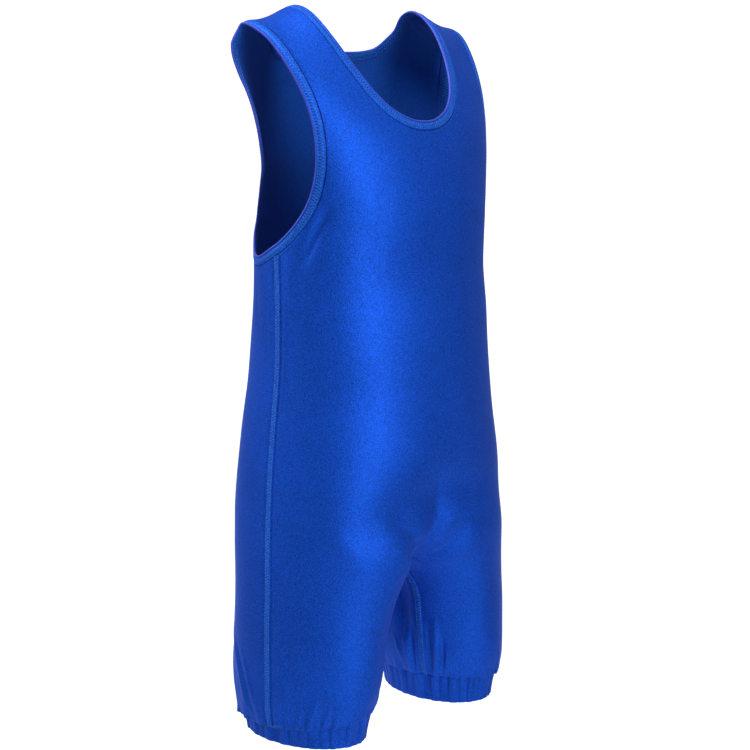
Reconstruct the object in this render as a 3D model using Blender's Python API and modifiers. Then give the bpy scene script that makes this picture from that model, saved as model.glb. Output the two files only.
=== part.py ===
"""Wrestling singlet, worn and hollow, as its maker cuts it.

Front and back panels run in one piece from the shoulder seams to the leg bands. A turned hem goes
round the neck and each armhole, and a gathered elastic band closes each leg. Metres, +Z up. The
wearer faces -Y, so the wearer's left is +X. The origin is midway between the shoulders, at the
height where the straps rest on them.
"""

import math

import bmesh
import bpy
import numpy as np

# Cloth
PANEL_WALL = 0.0014
HEM_WALL = 0.0020
BAND_WALL = 0.0022
SEAM_GAP = 0.0004
SEAM_SHIFT = 0.0003
HEM_WIDTH = 0.0100
HEM_PROUD = 0.0003

# Heights
SHOULDER_Z = 0.0020
CHEST_Z = -0.2000
CROTCH_Z = -0.5450

# Shoulder cap: how the front and back close over the shoulder, and how the straps slope outward
CAP_FLATNESS = 0.30
LEVEL_HEIGHT = (SHOULDER_Z - CHEST_Z) * (1.0 - CAP_FLATNESS) * math.pi / 2
SLOPE_DROP = 0.0170
SLOPE_FROM_X = 0.0780
SLOPE_TO_X = 0.1400

# Crotch: height over which the one torso ring parts into two leg rings, and how much narrower
# the inner side of each is by then
PARTING_HEIGHT = 0.1600
PARTING_NARROWS = 1.32

# Seams, as angles round the body from its side line, positive towards the front
SIDE_SEAM = ((0.002, 0.0), (-0.240, 1.5), (-0.360, 3.0), (-0.480, 4.5), (-0.580, 9.0), (-0.714, 10.0))
INSEAM_TURN = 20.0
INSEAM_TURN_HEIGHT = 0.0500

# Body sections, top to bottom:
# height, outer half-width, extra half-width of the back, front depth, back depth, centre line,
# forward set of the inner side, squareness, squareness of the back in depth, droop over the band
FORM_COLUMNS = (
    "z", "outer", "spread", "front", "back", "centre", "inner", "square", "back_square", "droop"
)
FORM = (
    (0.0020, 0.1650, 0.0000, 0.0990, 0.0800, -0.0020, 0.0000, 2.60, 1.30, 0.0000),
    (-0.0200, 0.1590, 0.0125, 0.0995, 0.0830, -0.0045, 0.0000, 2.85, 1.20, 0.0000),
    (-0.0500, 0.1520, 0.0075, 0.1000, 0.0930, -0.0080, 0.0000, 3.00, 1.05, 0.0000),
    (-0.0750, 0.1468, 0.0018, 0.1000, 0.0935, -0.0118, 0.0000, 2.90, 1.05, 0.0000),
    (-0.1000, 0.1420, -0.0015, 0.1000, 0.0915, -0.0150, 0.0000, 2.70, 1.10, 0.0000),
    (-0.1250, 0.1382, -0.0028, 0.0988, 0.0890, -0.0182, 0.0000, 2.50, 1.15, 0.0000),
    (-0.1500, 0.1350, -0.0035, 0.0970, 0.0865, -0.0210, 0.0000, 2.35, 1.25, 0.0000),
    (-0.1750, 0.1327, -0.0040, 0.0950, 0.0870, -0.0233, 0.0000, 2.25, 1.60, 0.0000),
    (-0.2000, 0.1310, -0.0030, 0.0930, 0.0880, -0.0250, 0.0000, 2.20, 2.00, 0.0000),
    (-0.2200, 0.1303, 0.0000, 0.0915, 0.0890, -0.0254, 0.0000, 2.20, 2.15, 0.0000),
    (-0.2500, 0.1300, 0.0000, 0.0905, 0.0900, -0.0256, 0.0000, 2.20, 2.20, 0.0000),
    (-0.3000, 0.1310, 0.0000, 0.0950, 0.0950, -0.0265, 0.0000, 2.20, 2.20, 0.0000),
    (-0.3600, 0.1350, 0.0000, 0.1000, 0.1000, -0.0255, 0.0000, 2.20, 2.20, 0.0000),
    (-0.4200, 0.1420, 0.0000, 0.1050, 0.1050, -0.0238, 0.0000, 2.20, 2.20, 0.0000),
    (-0.4800, 0.1480, 0.0000, 0.1010, 0.1010, -0.0238, 0.0030, 2.20, 2.20, 0.0000),
    (-0.5200, 0.1513, 0.0000, 0.0955, 0.0955, -0.0241, 0.0085, 2.13, 2.13, 0.0000),
    (-0.5500, 0.1534, 0.0000, 0.0903, 0.0903, -0.0243, 0.0122, 2.06, 2.06, 0.0000),
    (-0.5900, 0.1553, 0.0000, 0.0852, 0.0852, -0.0242, 0.0146, 2.00, 2.00, 0.0000),
    (-0.6200, 0.1560, 0.0000, 0.0832, 0.0832, -0.0240, 0.0150, 2.00, 2.00, 0.0006),
    (-0.6400, 0.1560, 0.0000, 0.0826, 0.0826, -0.0238, 0.0150, 2.00, 2.00, 0.0040),
    (-0.6560, 0.1555, 0.0000, 0.0815, 0.0815, -0.0234, 0.0150, 2.00, 2.00, 0.0130),
    (-0.6680, 0.1535, 0.0000, 0.0785, 0.0785, -0.0232, 0.0150, 2.00, 2.00, 0.0190),
    (-0.6760, 0.1515, 0.0000, 0.0760, 0.0760, -0.0235, 0.0150, 2.00, 2.00, 0.0200),
    (-0.6810, 0.1495, 0.0000, 0.0738, 0.0738, -0.0238, 0.0150, 2.00, 2.00, 0.0120),
    (-0.6840, 0.1470, 0.0000, 0.0712, 0.0712, -0.0240, 0.0150, 2.00, 2.00, 0.0000),
    (-0.7140, 0.1435, 0.0000, 0.0670, 0.0670, -0.0250, 0.0150, 2.00, 2.00, 0.0000),
)

# Half of the gap between the legs: height, half-width
LEG_GAP = (
    (-0.5450, 0.0000),
    (-0.5465, 0.0018),
    (-0.5500, 0.0055),
    (-0.5560, 0.0106),
    (-0.5650, 0.0160),
    (-0.5800, 0.0210),
    (-0.6000, 0.0252),
    (-0.6200, 0.0281),
    (-0.6400, 0.0308),
    (-0.6560, 0.0340),
    (-0.6680, 0.0385),
    (-0.6760, 0.0420),
    (-0.6810, 0.0445),
    (-0.6840, 0.0470),
    (-0.7140, 0.0500),
)

# Middle of a leg: height, distance from the centre line
LEG_CENTRE = (
    (-0.5300, 0.0594),
    (-0.5450, 0.0660),
    (-0.5600, 0.0722),
    (-0.5800, 0.0795),
    (-0.6000, 0.0852),
    (-0.6200, 0.0895),
    (-0.6400, 0.0923),
    (-0.6560, 0.0943),
    (-0.6840, 0.0965),
    (-0.7140, 0.0968),
)

# The droop over the band is greatest at this angle, and its least share is on the other side
DROOP_ANGLE = -25.0
DROOP_LEAST = 0.25

# Openings. Neck: height, half-width. Armhole: height, angle round the body from the side line.
NECK_FRONT = (
    (0.0020, 0.0800),
    (-0.0200, 0.0750),
    (-0.0400, 0.0700),
    (-0.0600, 0.0635),
    (-0.0800, 0.0535),
    (-0.0960, 0.0395),
    (-0.1060, 0.0215),
    (-0.1095, 0.0000),
)
NECK_BACK = (
    (0.0020, 0.0800),
    (-0.0100, 0.0800),
    (-0.0250, 0.0750),
    (-0.0360, 0.0655),
    (-0.0410, 0.0510),
    (-0.0430, 0.0340),
    (-0.0440, 0.0000),
)
ARMHOLE = (
    (0.002, 31.0),
    (-0.020, 35.0),
    (-0.050, 36.5),
    (-0.085, 36.3),
    (-0.120, 34.0),
    (-0.155, 29.5),
    (-0.185, 22.5),
    (-0.210, 11.0),
    (-0.229, -4.0),
    (-0.237, -18.0),
    (-0.230, -31.0),
    (-0.205, -38.0),
    (-0.170, -36.0),
    (-0.140, -28.0),
    (-0.110, -20.0),
    (-0.080, -20.5),
    (-0.050, -25.5),
    (-0.022, -31.0),
    (-0.007, -31.5),
    (0.002, -31.0),
)

# Mesh density
CURVE_SAMPLES = 601
HALF_NECK_SAMPLES = 96
ARMHOLE_SAMPLES = 400
MOVE_STEPS = 4
PANEL_COLUMNS = 11
STRAP_ROWS = 14
CHEST_ROWS = 11
BODY_ROWS = 8
FRONT_CHEST_Z = -0.1650
BACK_STRAP_Z = -0.1150
CHEST_SPREAD = 0.80
NECK_ROW_BEND = 1.8
NECK_BEND_ROWS = 5
UNDER_ARM_ROW_BEND = 0.65
UNDER_ARM_BEND_ROWS = 4
FRONT_DIP = 1.0
BACK_DIP = 1.8

# Rows over the parting of the legs, as shares of its height, and rows down the legs
PARTING_ROWS = (0.70, 0.50, 0.35, 0.24, 0.15, 0.08, 0.03)
LEG_ROWS = (-0.5450, -0.5465, -0.5500, -0.5560, -0.5650, -0.5800, -0.6000, -0.6220, -0.6400)

# Gathers of one leg, counted over its front and its back: rows of height and share of full height
FRONT_GATHERS = 15
BACK_GATHERS = 21
GATHER_HEIGHT = 0.0026
BAND_GATHER_HEIGHT = 0.0020
SEAM_STRIP_ANGLE = 3.5
GATHER_ROWS = ((-0.6540, 0.25), (-0.6650, 0.60), (-0.6740, 0.90), (-0.6795, 1.0), (-0.6840, 1.0))
BAND_ROWS = ((-0.6846, 1.0), (-0.6990, 0.80), (-0.7140, 1.0))

COLOURS = {
    "shell": (0.020, 0.090, 0.560, 1.0),
    "hem": (0.022, 0.095, 0.580, 1.0),
    "band": (0.018, 0.085, 0.540, 1.0),
}
CLOTH_ROUGHNESS = 0.42
WELD_DISTANCE = 0.00001


def smooth_column(rows, column, z):
    """Monotone cubic through one column of a table whose first column is the height."""
    table = np.array(rows, float)[::-1]
    heights, values = table[:, 0], table[:, column]
    steps = np.diff(heights)
    slopes = np.diff(values) / steps
    ends = np.zeros(len(values))
    same_sign = slopes[:-1] * slopes[1:] > 0
    ends[1:-1][same_sign] = 2.0 / (1.0 / slopes[:-1][same_sign] + 1.0 / slopes[1:][same_sign])
    z = np.clip(z, heights[0], heights[-1])
    i = np.clip(np.searchsorted(heights, z) - 1, 0, len(steps) - 1)
    t = (z - heights[i]) / steps[i]
    low = (2 * t**3 - 3 * t**2 + 1) * values[i] + (t**3 - 2 * t**2 + t) * ends[i] * steps[i]
    high = (3 * t**2 - 2 * t**3) * values[i + 1] + (t**3 - t**2) * ends[i + 1] * steps[i]
    return low + high


def form(name, z):
    return smooth_column(FORM, FORM_COLUMNS.index(name), z)


def height_of(level):
    """Level is 1 on the shoulder line and 0 at the chest. Below that it goes on at the same rate."""
    turn = np.maximum(level, 0.0) * math.pi / 2
    rise = np.sin(turn) * (1.0 - CAP_FLATNESS * np.cos(turn) ** 2)
    return CHEST_Z + np.minimum(level, 0.0) * LEVEL_HEIGHT + rise * (SHOULDER_Z - CHEST_Z)


def level_of(z):
    levels = np.linspace(0.0, 1.0, 2001)
    below = (z - CHEST_Z) / LEVEL_HEIGHT
    return np.where(z < CHEST_Z, below, np.interp(z, height_of(levels), levels))


def parting(z):
    """0 where the torso is one ring, 1 where it has become two legs."""
    rise = np.clip((z - CROTCH_Z) / PARTING_HEIGHT, 0.0, 1.0)
    return (1.0 - rise) ** 2


def section_middle(z, outer):
    """Middle of half a section, and how far it reaches inward from there: the whole torso's half
    section starts at the centre line, and the leg's has its own middle."""
    narrowed = outer / (1.0 + PARTING_NARROWS * parting(z))
    middle = np.where(z > CROTCH_Z, parting(z) * narrowed, smooth_column(LEG_CENTRE, 1, z))
    return middle, np.where(z > CROTCH_Z, narrowed, middle - smooth_column(LEG_GAP, 1, z))


def half_width(z, behind):
    return form("outer", z) + np.where(behind, form("spread", z), 0.0)


def signed_power(value, power):
    return np.sign(value) * np.abs(value) ** power


def body_point(level, angle, side=1):
    """Point on the outside of the cloth. Side 1 is the wearer's left; the angle starts at the side
    line and is positive over the front."""
    level, angle = np.broadcast_arrays(np.asarray(level, float), np.asarray(angle, float))
    z = height_of(level)
    turn = np.radians(angle)
    cap = np.cos(np.maximum(level, 0.0) * math.pi / 2)
    behind = np.sin(turn) * cap < 0
    outer = half_width(z, behind)
    square = form("square", z)
    middle, inward = section_middle(z, outer)
    sideways = signed_power(np.cos(turn), 2 / square)
    x = middle + np.where(sideways > 0, outer - middle, inward) * sideways
    depth_square = np.where(behind, form("back_square", z), square)
    outward = signed_power(np.sin(turn), 2 / depth_square) * cap
    y = form("centre", z) - np.where(behind, form("back", z), form("front", z)) * outward
    y = y - form("inner", z) * (outer - x) / outer
    up = np.clip((z - CHEST_Z) / (SHOULDER_Z - CHEST_Z), 0.0, 1.0)
    slope = (x**2 - SLOPE_FROM_X**2) / (SLOPE_TO_X**2 - SLOPE_FROM_X**2)
    lean = DROOP_LEAST + (1 - DROOP_LEAST) * np.cos(np.radians(angle - DROOP_ANGLE) / 2) ** 2
    z = z - SLOPE_DROP * up**2 * slope - form("droop", z) * lean
    return np.stack([side * x, y, z], axis=-1)


def surface_slopes(level, angle, side):
    """Changes of the surface point for one unit of level and one degree of angle."""
    step, turn = 1e-4, 0.02
    along = body_point(level + step, angle, side) - body_point(level - step, angle, side)
    around = body_point(level, angle + turn, side) - body_point(level, angle - turn, side)
    return along / (2 * step), around / (2 * turn)


def unit(vectors):
    return vectors / np.linalg.norm(vectors, axis=-1, keepdims=True)


def outward_normal(level, angle, side=1):
    along, around = surface_slopes(level, angle, side)
    return unit(np.cross(along, around)) * side


def angle_at_width(z, width, behind):
    share = np.clip(width / half_width(z, behind), 0.0, 1.0)
    return np.degrees(np.arccos(share ** (form("square", z) / 2)))


def side_seam(z):
    return smooth_column(SIDE_SEAM, 1, z)


def inner_edge(z):
    """Angle at which half of the front ends: at the centre line, or at the inseam of the leg."""
    square = form("square", z)
    centre = np.degrees(np.arccos(-(parting(z) ** (square / 2))))
    below = np.clip((CROTCH_Z - z) / INSEAM_TURN_HEIGHT, 0.0, 1.0)
    return np.where(z > CROTCH_Z, centre, 180.0 - INSEAM_TURN * below * (2.0 - below))


def through(before, rows, after):
    """Smooth curve through rows of level and angle, sampled closely. Its ends head for two more rows."""
    guides = np.vstack([before, rows, after])
    spans = np.linspace(0.0, len(rows) - 1.0, CURVE_SAMPLES)
    i = np.minimum(spans.astype(int), len(rows) - 2)
    t = (spans - i)[:, None]
    p0, p1, p2, p3 = guides[i], guides[i + 1], guides[i + 2], guides[i + 3]
    curve = p1 + t * (p2 - p0) / 2 + t**2 * (p0 - 2.5 * p1 + 2 * p2 - p3 / 2)
    return curve + t**3 * (1.5 * (p1 - p2) + (p3 - p0) / 2)


def over_shoulder(points):
    """The same points as level and angle of the other panel: its levels start at the shoulder."""
    return np.stack([2.0 - points[:, 0], -points[:, 1]], axis=-1)


def neckline_rows(table, sign):
    heights, widths = np.array(table).T
    angles = angle_at_width(heights, widths, sign < 0) * sign
    return np.stack([level_of(heights), angles], axis=-1)


def half_neckline(sign):
    """One half of the neckline as level and angle, from the shoulder to the centre. Sign 1 is the front."""
    front, back = neckline_rows(NECK_FRONT, 1), neckline_rows(NECK_BACK, -1)
    rows, others = (front, back) if sign > 0 else (back, front)
    before = over_shoulder(others[1:2])
    whole = through(before, np.vstack([rows, across(rows[-2::-1])]), across(before))
    return whole[: (CURVE_SAMPLES + 1) // 2]


def across(curve):
    """The same curve on the body's other side."""
    return np.stack([curve[:, 0], np.sign(curve[:, 1]) * 180.0 - curve[:, 1]], axis=-1)


def spaced(curve, count):
    """Points of the curve, evenly spaced along the cloth."""
    points = body_point(curve[:, 0], curve[:, 1])
    lengths = np.concatenate([[0.0], np.cumsum(np.linalg.norm(np.diff(points, axis=0), axis=1))])
    wanted = np.linspace(0.0, lengths[-1], count)
    return np.stack([np.interp(wanted, lengths, curve[:, i]) for i in (0, 1)], axis=-1)


def moved_in(curve, distance, towards):
    """A closed curve set back from its opening by a distance along the cloth."""
    curve = curve.copy()
    for _ in range(MOVE_STEPS):
        points = body_point(curve[:, 0], curve[:, 1])
        run = unit(np.roll(points, -1, axis=0) - np.roll(points, 1, axis=0))
        along, around = surface_slopes(curve[:, 0], curve[:, 1], 1)
        ways = np.cross(outward_normal(curve[:, 0], curve[:, 1]), run) * towards
        for i, (a, b, way) in enumerate(zip(along, around, ways)):
            metric = np.array([[a @ a, a @ b], [a @ b, b @ b]])
            curve[i] += np.linalg.solve(metric, [a @ way, b @ way]) * distance / MOVE_STEPS
    return curve


class Opening:
    """An edge once round, with the stations where rows of both panels and its hem meet."""

    def __init__(self, curve, front_stations, back_stations, towards):
        self.curve = curve
        self.front_stations = front_stations
        self.back_stations = back_stations
        self.towards = towards

    def hem_path(self, distance, stations):
        return moved_in(self.curve, distance, self.towards)[stations % len(self.curve)]

    def panel_path(self, front):
        """Stations of one panel from the shoulder on, clear of the hem."""
        stations = self.front_stations if front else self.back_stations
        path = self.hem_path(HEM_WIDTH + SEAM_GAP, stations)
        if not front:
            path[0] = over_shoulder(path[:1])[0]
        return path


def shared_out(first, last, count):
    """Whole sample numbers from first to last, evenly spread."""
    return np.linspace(first, last, count + 1).round().astype(int)


def along_strap(first, last):
    """The same for the strap, with one row close to the shoulder seam, where the cloth bends over."""
    beside = first + int(np.sign(last - first))
    return np.concatenate([[first], shared_out(beside, last, STRAP_ROWS - 1)])


def neck_opening():
    """The neck: left front from the shoulder, right front, right back, left back."""
    front = spaced(half_neckline(1), HALF_NECK_SAMPLES + 1)
    back = spaced(half_neckline(-1), HALF_NECK_SAMPLES + 1)
    parts = (front, across(front)[::-1], across(back), back[::-1])
    loop = np.concatenate([part[:-1] for part in parts])
    front_stations = along_strap(0, HALF_NECK_SAMPLES)
    return Opening(loop, front_stations, 4 * HALF_NECK_SAMPLES - front_stations, 1)


def armhole_opening():
    """The armhole from the shoulder down its front, under the arm and up its back."""
    heights, angles = np.array(ARMHOLE).T
    rows = np.stack([level_of(heights), angles], axis=-1)
    whole = through(over_shoulder(rows[-2:-1]), rows, over_shoulder(rows[1:2]))
    loop = spaced(whole, ARMHOLE_SAMPLES + 1)[:-1]
    edge = moved_in(loop, HEM_WIDTH + SEAM_GAP, -1)
    drops = height_of(edge[:, 0])
    seam = int(np.argmin(np.abs(edge[:, 1] - side_seam(drops)) + (drops > CHEST_Z) * 180.0))
    front_cut = int(np.argmin(np.abs(drops[:seam] - FRONT_CHEST_Z)))
    back_cut = seam + int(np.argmin(np.abs(drops[seam:-1] - BACK_STRAP_Z)))
    front = np.concatenate(
        [along_strap(0, front_cut), shared_out(front_cut, seam, CHEST_ROWS)[1:]]
    )
    back = np.concatenate(
        [along_strap(len(loop), back_cut), shared_out(back_cut, seam, CHEST_ROWS)[1:]]
    )
    return Opening(loop, front, back, -1)


def line_of(heights, angles):
    return np.stack([level_of(np.array(heights)), np.broadcast_to(angles, len(heights))], axis=-1)


def gather_angles(start, end, count):
    """Valleys and crests round a leg, uneven, with a flat strip by the seam at each end."""
    way = np.sign(end - start)
    first, last = start + way * SEAM_STRIP_ANGLE, end - way * SEAM_STRIP_ANGLE
    steps = np.linspace(0.0, 1.0, 2 * count + 1)
    spread = (last - first) / (2 * count) * 0.30
    uneven = np.sin(np.arange(2 * count + 1) * 2.4 + count) * spread
    uneven[[0, -1]] = 0.0
    return np.concatenate([[start], first + (last - first) * steps + uneven, [end]])


def gather_heights(count, phase):
    """Share of full height at each of those angles: valleys at 0, crests uneven."""
    crests = 0.72 + 0.28 * np.sin(np.arange(2 * count + 1) * 1.7 + phase)
    crests[::2] = 0.0
    return np.concatenate([[0.0], crests, [0.0]])


def raised(level, angle, side, height):
    """Surface points moved out from the body."""
    point = body_point(level, angle, side)
    return point + outward_normal(level, angle, side) * np.asarray(height)[..., None]


def puffed(level, angle, side, height):
    """Surface points moved level and outwards, which the tuck over the band needs."""
    _, around = surface_slopes(level, angle, side)
    outward = unit(np.stack([-around[:, 1], around[:, 0], np.zeros(len(around))], axis=-1)) * side
    return body_point(level, angle, side) + outward * height[:, None]


def row_bends(count, front):
    """Power that bends each row: up to the low point of the neck, and down below the armhole's back."""
    under_arm = STRAP_ROWS + CHEST_ROWS
    marks = (
        0,
        STRAP_ROWS,
        STRAP_ROWS + NECK_BEND_ROWS,
        under_arm - UNDER_ARM_BEND_ROWS,
        under_arm,
        under_arm + BODY_ROWS,
    )
    powers = (1.0, NECK_ROW_BEND, 1.0, 1.0, 1.0 if front else UNDER_ARM_ROW_BEND, 1.0)
    return np.interp(np.arange(count), marks, powers)


def panel_rows(front, side, armhole, neck):
    """Rows of points of half a panel, from the shoulder seam to the leg band."""
    sign = 1 if front else -1
    armhole_path, neck_path = armhole.panel_path(front), neck.panel_path(front)
    neck_path[-1, 1] = sign * 90.0
    chest_z, neck_z = height_of(armhole_path[-1, 0]), height_of(neck_path[-1, 0])
    body_z = np.linspace(chest_z, CROTCH_Z + PARTING_HEIGHT, BODY_ROWS + 1)[1:]
    centre_top = body_z[0] + (body_z[1] - body_z[0]) * (FRONT_DIP if front else BACK_DIP)
    parting_z = CROTCH_Z + PARTING_HEIGHT * np.array(PARTING_ROWS)
    low_z = np.concatenate([body_z, parting_z, LEG_ROWS])
    starts = np.vstack([armhole_path, line_of(low_z, side_seam(low_z))])
    drops = height_of(armhole_path[STRAP_ROWS:, 0])
    fallen = (drops[1:] - drops[0]) / (drops[-1] - drops[0])
    evenly = np.linspace(0.0, 1.0, CHEST_ROWS + 1)[1:]
    fallen = fallen * (1.0 - CHEST_SPREAD) + evenly * CHEST_SPREAD
    chest_ends = neck_z + (centre_top - neck_z) * fallen
    low_ends = low_z.copy()
    low_ends[:BODY_ROWS] = np.linspace(centre_top, body_z[-1], BODY_ROWS + 1)[1:]
    ends = np.vstack(
        [
            neck_path,
            line_of(chest_ends, sign * 90.0),
            line_of(low_ends, end_angles(low_ends, front)),
        ]
    )
    bends = row_bends(len(starts), front)
    share = np.linspace(0.0, 1.0, PANEL_COLUMNS)
    rows = []
    for start, end, bend in zip(starts, ends, bends):
        levels = start[0] + (end[0] - start[0]) * share**bend
        rows.append(body_point(levels, start[1] + (end[1] - start[1]) * share, side))
    for z, amount in GATHER_ROWS:
        rows.append(gather_row(z, amount * GATHER_HEIGHT, front, side))
    return rows


def end_angles(z, front):
    """Where half a panel ends: the centre line and then the inseam, turned towards the front."""
    inner = inner_edge(z)
    return inner if front else np.where(z > CROTCH_Z, -inner, inner - 360.0)


def gather_row(z, height, front, side):
    count = FRONT_GATHERS if front else BACK_GATHERS
    angles = gather_angles(float(side_seam(z)), float(end_angles(z, front)), count)
    shares = gather_heights(count, side + (2.0 if front else 0.0))
    return puffed(np.full(len(angles), float(level_of(z))), angles, side, shares * height)


def new_material(name, colour):
    material = bpy.data.materials.new(name)
    material.use_nodes = True
    shader = material.node_tree.nodes["Principled BSDF"]
    shader.inputs["Base Color"].default_value = colour
    shader.inputs["Roughness"].default_value = CLOTH_ROUGHNESS
    shader.inputs["Metallic"].default_value = 0.0
    return material


def add_strip(bm, rows, flip, closed=False):
    """Faces between rows of points. Rows of unlike counts are joined by triangles."""
    made = [[bm.verts.new(point) for point in row] for row in rows]
    for upper, lower in zip(made, made[1:]):
        if closed:
            upper, lower = upper + upper[:1], lower + lower[:1]
        i, j = 0, 0
        while i < len(upper) - 1 or j < len(lower) - 1:
            if len(upper) == len(lower):
                corners = [upper[i], lower[j], lower[j + 1], upper[i + 1]]
                i, j = i + 1, j + 1
            elif (i + 1) / (len(upper) - 1) < (j + 1) / (len(lower) - 1):
                corners = [upper[i], lower[j], upper[i + 1]]
                i += 1
            else:
                corners = [upper[i], lower[j], lower[j + 1]]
                j += 1
            bm.faces.new(corners[::-1] if flip else corners)


def add_cloth(collection, name, sheets, wall, material, closed=False):
    """One piece of cloth from sheets of rows, given a wall towards the wearer."""
    mesh = bpy.data.meshes.new(name)
    bm = bmesh.new()
    for rows, flip in sheets:
        add_strip(bm, rows, flip, closed)
    bmesh.ops.remove_doubles(bm, verts=bm.verts, dist=WELD_DISTANCE)
    bm.to_mesh(mesh)
    bm.free()
    mesh.shade_smooth()
    mesh.materials.append(material)
    piece = bpy.data.objects.new(name, mesh)
    collection.objects.link(piece)
    solid = piece.modifiers.new("wall", "SOLIDIFY")
    solid.thickness = wall
    solid.offset = -1.0
    solid.use_rim = True
    return piece


def build_panel(collection, front, armhole, neck, material):
    shift = np.array([0.0, -SEAM_SHIFT if front else SEAM_SHIFT, 0.0])
    sheets = []
    for side in (1, -1):
        rows = [row + shift for row in panel_rows(front, side, armhole, neck)]
        sheets.append((rows, (side == 1) == front))
    name = "front_panel" if front else "back_panel"
    return add_cloth(collection, name, sheets, PANEL_WALL, material)


def hem_rows(opening, stations, side):
    """Three rows across a hem: at its opening, along its middle and by the panel."""
    rows = []
    for distance in (0.0, HEM_WIDTH / 2, HEM_WIDTH):
        path = opening.hem_path(distance, stations)
        rows.append(raised(path[:, 0], path[:, 1], side, np.full(len(path), HEM_PROUD)))
    return rows


def build_hems(collection, armhole, neck, material):
    quarter = neck.front_stations
    half = np.concatenate([quarter[:-1], (2 * HALF_NECK_SAMPLES - quarter)[:0:-1]])
    stations = np.concatenate([half, half + 2 * HALF_NECK_SAMPLES])
    sheet = (hem_rows(neck, stations, 1), True)
    add_cloth(collection, "neck_hem", [sheet], HEM_WALL, material, closed=True)
    stations = np.concatenate([armhole.front_stations, armhole.back_stations[::-1][1:-1]])
    for name, side in (("armhole_hem_left", 1), ("armhole_hem_right", -1)):
        sheet = (hem_rows(armhole, stations, side), side == -1)
        add_cloth(collection, name, [sheet], HEM_WALL, material, closed=True)


def build_band(collection, name, side, material):
    """Elastic band of one leg: a wavy ring that goes on from the gathers above it."""
    rows = []
    for z, amount in BAND_ROWS:
        front = gather_row(z, amount * BAND_GATHER_HEIGHT, True, side)
        back = gather_row(z, amount * BAND_GATHER_HEIGHT, False, side)
        rows.append(np.vstack([front, back[::-1][1:-1]]))
    return add_cloth(collection, name, [(rows, side == 1)], BAND_WALL, material, closed=True)


def main():
    for old in list(bpy.data.objects):
        bpy.data.objects.remove(old)
    collection = bpy.data.collections.new("wrestling_singlet")
    bpy.context.scene.collection.children.link(collection)
    materials = {name: new_material(name, colour) for name, colour in COLOURS.items()}
    armhole, neck = armhole_opening(), neck_opening()
    build_panel(collection, True, armhole, neck, materials["shell"])
    build_panel(collection, False, armhole, neck, materials["shell"])
    build_hems(collection, armhole, neck, materials["hem"])
    build_band(collection, "leg_band_left", 1, materials["band"])
    build_band(collection, "leg_band_right", -1, materials["band"])


main()
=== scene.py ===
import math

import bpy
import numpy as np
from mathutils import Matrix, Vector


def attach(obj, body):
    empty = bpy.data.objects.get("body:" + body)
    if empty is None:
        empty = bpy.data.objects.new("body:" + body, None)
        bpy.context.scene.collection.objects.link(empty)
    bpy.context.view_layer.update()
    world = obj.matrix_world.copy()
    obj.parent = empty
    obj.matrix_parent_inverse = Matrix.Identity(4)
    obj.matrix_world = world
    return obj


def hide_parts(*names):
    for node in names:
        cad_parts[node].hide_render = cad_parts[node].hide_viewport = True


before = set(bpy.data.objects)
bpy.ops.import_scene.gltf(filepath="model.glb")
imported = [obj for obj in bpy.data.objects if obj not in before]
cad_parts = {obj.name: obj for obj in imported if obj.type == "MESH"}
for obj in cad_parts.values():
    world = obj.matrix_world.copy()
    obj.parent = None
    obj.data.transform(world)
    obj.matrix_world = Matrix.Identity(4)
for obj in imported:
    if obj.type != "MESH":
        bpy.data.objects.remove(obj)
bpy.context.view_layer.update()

# Wrestling singlet: the cloth, hems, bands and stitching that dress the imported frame.
# +Z is up. The wearer faces -Y, so the wearer's left is +X. The form is the part's own, in finer
# steps: levels run down the body and angles run round it from the side line. Lengths are in
# metres, or in mm where a table says so, and angles are in degrees.

PER_METRE = 1000.0

# Cloth
CLOTH_WALL = 0.0009
WELD_DISTANCE = 0.00002
SEAM_GAP = 0.0004
SEAM_SHIFT = 0.0001
HEM_WIDTH = 0.01

# Heights
SHOULDER_Z = 0.002
CHEST_Z = -0.2
CROTCH_Z = -0.545
BAND_TOP_Z = -0.684

# Shoulder cap: how the front and back close over the shoulder, and how the straps slope outward
CAP_FLATNESS = 0.3
LEVEL_HEIGHT = (SHOULDER_Z - CHEST_Z) * (1.0 - CAP_FLATNESS) * math.pi / 2
SLOPE_DROP = 0.017
SLOPE_FROM_X = 0.078
SLOPE_TO_X = 0.14

# Crotch: height over which the one torso ring parts into two leg rings, and how much narrower
# the inner side of each is by then
PARTING_HEIGHT = 0.16
PARTING_NARROWS = 1.32

# Seams. Side seam: height in mm, angle round the body from its side line, positive in front
SIDE_SEAM = ((2, 0.0), (-240, 1.5), (-360, 3.0), (-480, 4.5), (-580, 9.0), (-714, 10.0))
INSEAM_TURN = 20.0
INSEAM_TURN_HEIGHT = 0.05

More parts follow.
